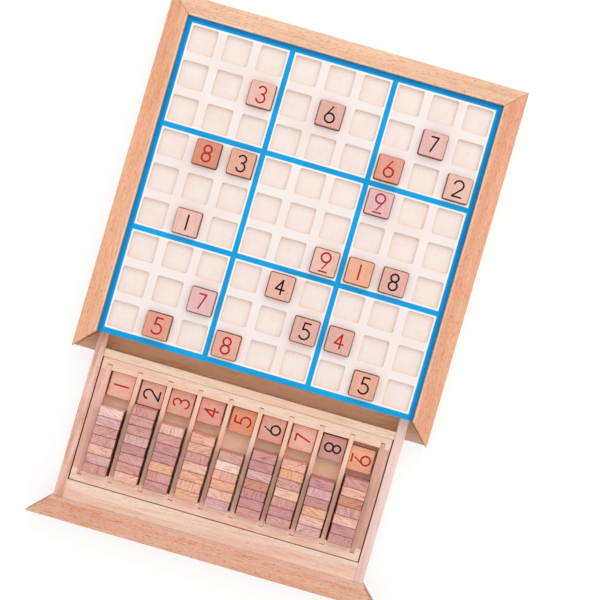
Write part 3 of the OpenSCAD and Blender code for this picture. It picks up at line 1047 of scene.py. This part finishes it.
BOARD_TILES = tuple(TileLook(f"tile_{cell}", ink, tone, turn) for cell, ink, tone, turn in (
    ("r2c3", Ink.RED, Tone.PALE_PEACH, 90), ("r2c5", Ink.BLACK, Tone.ROSY_TAN, 80),
    ("r2c8", Ink.BLACK, Tone.PINK, 70), ("r3c7", Ink.RED, Tone.TERRACOTTA, 85),
    ("r3c9", Ink.BLACK, Tone.PALE_PEACH, 95), ("r4c2", Ink.RED, Tone.RUSSET, 90),
    ("r4c3", Ink.BLACK, Tone.PEACH_TAN, 88), ("r4c7", Ink.CRIMSON, Tone.PALE_LILAC, 75),
    ("r6c2", Ink.BLACK, Tone.PALE_PEACH, 92), ("r6c6", Ink.RED, Tone.PALE_PEACH, 84),
    ("r6c7", Ink.RED, Tone.APRICOT, 96), ("r6c8", Ink.BLACK, Tone.ROSY_TAN, 90),
    ("r7c5", Ink.BLACK, Tone.PEACH, 88), ("r8c3", Ink.CRIMSON, Tone.PALE_LILAC, 65),
    ("r8c6", Ink.BLACK, Tone.ROSY_TAN, 90), ("r8c7", Ink.RED, Tone.ROSY_TAN, 90),
    ("r9c2", Ink.RED, Tone.TERRACOTTA, 86), ("r9c4", Ink.RED, Tone.PEACH_TAN, 94),
    ("r9c8", Ink.BLACK, Tone.PEACH_TAN, 90),
))
FLAT_TILES = tuple(TileLook(f"flat_tile_{lane}", *looks) for lane, looks in enumerate((
    (Ink.RED, Tone.SAND, 0), (Ink.BLACK, Tone.PEACH, 20), (Ink.RED, Tone.PEACH_TAN, 5),
    (Ink.RED, Tone.CORAL, 0), (Ink.RED, Tone.ORANGE, -4), (Ink.BLACK, Tone.PEACH_TAN, 3),
    (Ink.RED, Tone.SAND, 8), (Ink.BLACK, Tone.ROSE_TAN, 12), (Ink.RED, Tone.APRICOT, 0),
), 1))
LANE_WOODS = tuple(tuple(Tone[name] for name in row.split()) for row in (
    "CREAM LILAC ROSE_TAN ROSE_TAN PEACH LILAC ROSE",
    "ROSE ROSE_TAN ROSE LILAC MAUVE ROSE_TAN ROSE PEACH",
    "PEACH ROSE MAUVE MAUVE ORANGE_TAN ROSE MAUVE",
    "PEACH_TAN PEACH_TAN ROSE PEACH ORANGE_TAN PEACH_TAN ORANGE_TAN",
    "ROSE_TAN CREAM PEACH_TAN ORANGE_TAN PEACH LILAC",
    "ROSE MAUVE LILAC ORANGE_BROWN MAUVE MAUVE ROSE",
    "PEACH_TAN ORANGE_TAN ROSE_TAN PEACH ROSE MAUVE ROSE_TAN",
    "MAUVE LILAC MAUVE ORANGE_TAN PEACH LILAC",
    "ROSE PEACH_TAN ORANGE_BROWN ROSE_TAN PEACH MAUVE MAUVE",
))


@dataclass
class Tiles:
    """The loose number tiles."""

    ease_mm: float = 0.35  # Width of the eased edges.
    edge_share: float = 0.5  # How much of the sides' darkening, partly painted shade, an eased edge takes.
    corner_mm: float = 1.2  # Radius of a tile's corners.
    mark_depth_mm: float = 0.3  # Depth of the cut numbers.
    mark_reach_mm: float = 9.0  # Farthest that a number reaches from a tile's middle.
    seat_gap_mm: float = 0.01  # How far the standing tiles stay off their lane's floor.
    lying_grain: int = 41  # Which stretch of grain the first lying tile has; the others' follow.
    standing_grain: int = 80  # What a lane's first stretch is counted from, in steps of ten.
    # Angles of the grain in standing tiles, over and over, each lane three on.
    turns: tuple[float, ...] = (0.0, 90.0, -8.0, 24.0, 4.0, -30.0, 86.0, 12.0)

    def build(self, blocks: EasedBlocks) -> None:
        """Makes every tile.

        Args:
            blocks: What makes the standing tiles.
        """
        wood = TileFinish(
            "tile_wood", band_mm=4.0, line_mm=0.9, flecks=0.3, roughness=0.55, line_shade=0.9
        ).material()
        # The standing tiles' sides are darker still: painted shade in the gaps beside the dividers, on top of
        # darker cut wood.
        stack_wood = TileFinish(
            "stack_wood", band_mm=3.0, line_mm=1.0, flecks=0.5, roughness=0.6, line_shade=0.48,
            lift=(1.09, 1.17, 1.17), sides=(0.42, 0.22, 0.15),
        ).material()
        inks = {ink: InkFinish(ink).material() for ink in Ink}
        for number, look in enumerate(BOARD_TILES + FLAT_TILES, self.lying_grain):
            self.lying(look, number, wood, inks[look.ink])
        for lane, woods in enumerate(LANE_WOODS, 1):
            self.standing(lane, woods, blocks, stack_wood)

    def lying(self, look: TileLook, number: int, wood: Material, ink: Material) -> None:
        """Makes a tile that lies with its number up.

        Args:
            look: How it looks.
            number: Which stretch of grain it has.
            wood: The wood's material.
            ink: The number's material.
        """
        low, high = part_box(look.node)
        middle = (low + high) / 2
        tilt, skin, deepest = 0.1, high.z - 0.02 * MM, high.z - 1.2 * self.mark_depth_mm * MM
        shape = merged(look.node)
        sides = {
            face for face in shape.faces
            if abs(face.normal.z) < tilt and min(vert.co.z for vert in face.verts) < low.z + NEAR
        }
        level = [line for line in shape.edges if abs(line.verts[0].co.z - line.verts[1].co.z) < NEAR]
        ease(shape, [line for line in level if len(sides & set(line.link_faces)) == 1], self.ease_mm)
        # Faces outside the number darken, sides most: partly painted shade.
        sawn = []
        for face in shape.faces:
            centre = face.calc_center_median()
            reach = max(abs(centre.x - middle.x), abs(centre.y - middle.y))
            inside = reach < self.mark_reach_mm * MM
            face.material_index = int(inside and deepest < centre.z < skin)
            sawn.append(0.0 if inside else 1.0 - self.edge_share * max(0.0, face.normal.z))
        mesh = bpy.data.meshes.new(f"{look.node}_wood")
        settle(shape, mesh)
        mesh.materials.append(wood)
        mesh.materials.append(ink)
        carry(mesh, "tone", [linear(look.tone.value)])
        carry(mesh, "grain_shift", [shift_of(number)])
        carry(mesh, "grain_turn", [math.radians(look.turn)])
        carry(mesh, "sawn", sawn, "FACE")
        show(mesh, f"{look.node}_wood", f"body_{look.node}", "tile_wood", look.node)

    def standing(self, lane: int, woods: tuple[Tone, ...], blocks: EasedBlocks, wood: Material) -> None:
        """Makes the tiles that stand in a lane.

        Args:
            lane: The lane's number from the left.
            woods: Their tones, from the back.
            blocks: What makes eased blocks.
            wood: The wood's material.
        """
        node = f"tile_stack_{lane}"
        boxes = solid_boxes(node)[::-1]
        wide, thick, tall = boxes[0][1] - boxes[0][0]
        backs = [Vector(((low.x + high.x) / 2, high.y, (low.z + high.z) / 2)) for low, high in boxes]
        mesh = bpy.data.meshes.new(f"{node}_places")
        mesh.from_pydata(backs, [], [])
        first_grain, first_turn, count = self.standing_grain + 10 * lane, 3 * lane, len(woods)
        turns = [self.turns[(first_turn + number) % len(self.turns)] for number in range(count)]
        carry(mesh, "tone", [linear(tone.value) for tone in woods])
        carry(mesh, "grain_shift", [shift_of(first_grain + number) for number in range(count)])
        carry(mesh, "grain_turn", [math.radians(turn) for turn in turns])
        made = blocks.apply(f"{node}_wood", mesh, {
            "Size": (wide, tall - 2 * self.seat_gap_mm * MM, thick), "Corner": self.corner_mm * MM,
            "Ease": self.ease_mm * MM, "Turn": (math.pi / 2, 0.0, 0.0), "Material": wood,
        })
        face_out(made)
        # Sides that face the dividers darken fully and slanting eased edges in part: painted shade in the
        # gaps.
        side, slant, square = 0.7, 0.3, 0.95
        carry(made, "sawn", [
            1.0 if abs(face.normal.x) > side else self.edge_share * (slant < abs(face.normal.y) < square)
            for face in made.polygons
        ], "FACE")
        show(made, f"{node}_wood", f"body_{node}", "stack_wood", node)


@dataclass
class Studio:
    """The floor, the light and the camera."""

    place_mm: Triple = (17.86, -62.65, 1135.0)  # Where the camera hangs.
    roll: float = 16.15  # How far it is turned about its own axis, in degrees.
    lens_mm: float = 82.75  # Its focal length.
    sensor_mm: float = 36.0  # Width of its sensor.
    sky: float = 0.85  # Strength of the light from all sides.
    lamp_m: Triple = (0.4, 1.35, 1.5)  # Where the large lamp at the back right hangs.
    lamp_width_m: float = 1.6  # Its width.
    lamp_watts: float = 9.0  # Its strength.
    floor_m: float = 8.0  # Width of the floor.
    floor_gap_mm: float = 0.2  # How far the floor lies below the object.

    def build(self) -> None:
        """Sets up the whole studio."""
        self.floor()
        self.world()
        self.lamp()
        self.camera()
        bpy.context.scene.view_settings.view_transform = "Standard"

    def seen(self, wiring: Wiring) -> NodeSocket:
        """Tells rays that show the background from those that light the object.

        Args:
            wiring: The tree.

        Returns:
            A socket that is 1 for camera, glossy and transmission rays.
        """
        path = wiring.add("ShaderNodeLightPath").outputs
        either = wiring.math("MAXIMUM", path["Is Camera Ray"], path["Is Glossy Ray"])
        return wiring.math("MAXIMUM", either, path["Is Transmission Ray"])

    def floor(self) -> None:
        """Lays the plain pale floor, which is a little brighter where it is seen than where it lights."""
        half = self.floor_m / 2
        mesh = bpy.data.meshes.new("floor")
        mesh.from_pydata([(x * half, y * half, 0.0) for x, y in CORNERS], [], [(0, 1, 2, 3)])
        shading = Shading("pale_floor")
        plain = shading.add("ShaderNodeBsdfDiffuse", {"Color": (0.8, 0.79, 0.78, 1.0)})
        soft = shading.add("ShaderNodeBsdfDiffuse", {"Color": (0.34, 0.34, 0.34, 1.0)})
        glow = shading.add("ShaderNodeEmission", {"Strength": 0.72})
        shown = shading.add("ShaderNodeAddShader", {0: soft.outputs[0], 1: glow.outputs[0]})
        both = shading.add("ShaderNodeMixShader", {
            0: self.seen(shading), 1: plain.outputs[0], 2: shown.outputs[0],
        })
        shading.add("ShaderNodeOutputMaterial", {"Surface": both.outputs[0]})
        mesh.materials.append(shading.material)
        piece = linked("floor", mesh)
        piece.location.z = -self.floor_gap_mm * MM

    def world(self) -> None:
        """Lights the scene evenly from all sides, and shows white behind the floor."""
        world = bpy.data.worlds.new("studio")
        world.use_nodes = True
        bpy.context.scene.world = world
        wiring = Wiring(world.node_tree)
        light = wiring.add("ShaderNodeBackground", {"Color": (1.0, 0.985, 0.97, 1.0), "Strength": self.sky})
        white = wiring.add("ShaderNodeBackground", {"Color": (1.0, 1.0, 1.0, 1.0), "Strength": 1.0})
        both = wiring.add("ShaderNodeMixShader", {
            0: self.seen(wiring), 1: light.outputs[0], 2: white.outputs[0],
        })
        wiring.add("ShaderNodeOutputWorld", {"Surface": both.outputs[0]})

    def lamp(self) -> None:
        """Hangs the large square lamp, which faces the board."""
        light = bpy.data.lights.new("key_lamp", "AREA")
        light.shape = "SQUARE"
        light.size = self.lamp_width_m
        light.energy = self.lamp_watts
        light.color = (1.0, 0.97, 0.93)
        holder = linked("key_lamp", light)
        holder.location = self.lamp_m
        holder.rotation_euler = (-Vector(self.lamp_m)).to_track_quat("-Z", "Y").to_euler()

    def camera(self) -> None:
        """Hangs the camera, which looks straight down."""
        lens = bpy.data.cameras.new("camera")
        lens.sensor_width = self.sensor_mm
        lens.lens = self.lens_mm
        holder = linked("camera", lens)
        holder.location = Vector(self.place_mm) * MM
        holder.rotation_euler = (0.0, 0.0, math.radians(self.roll))
        bpy.context.scene.camera = holder


def main() -> None:
    """Builds the object's pieces in order, then the studio."""
    logging.basicConfig(level=logging.INFO, format="%(name)s %(message)s")
    blocks = EasedBlocks()
    Case().build()
    Drawer().build()
    Tray().build(blocks)
    Tiles().build(blocks)
    Studio().build()


if __name__ == "__main__":
    main()
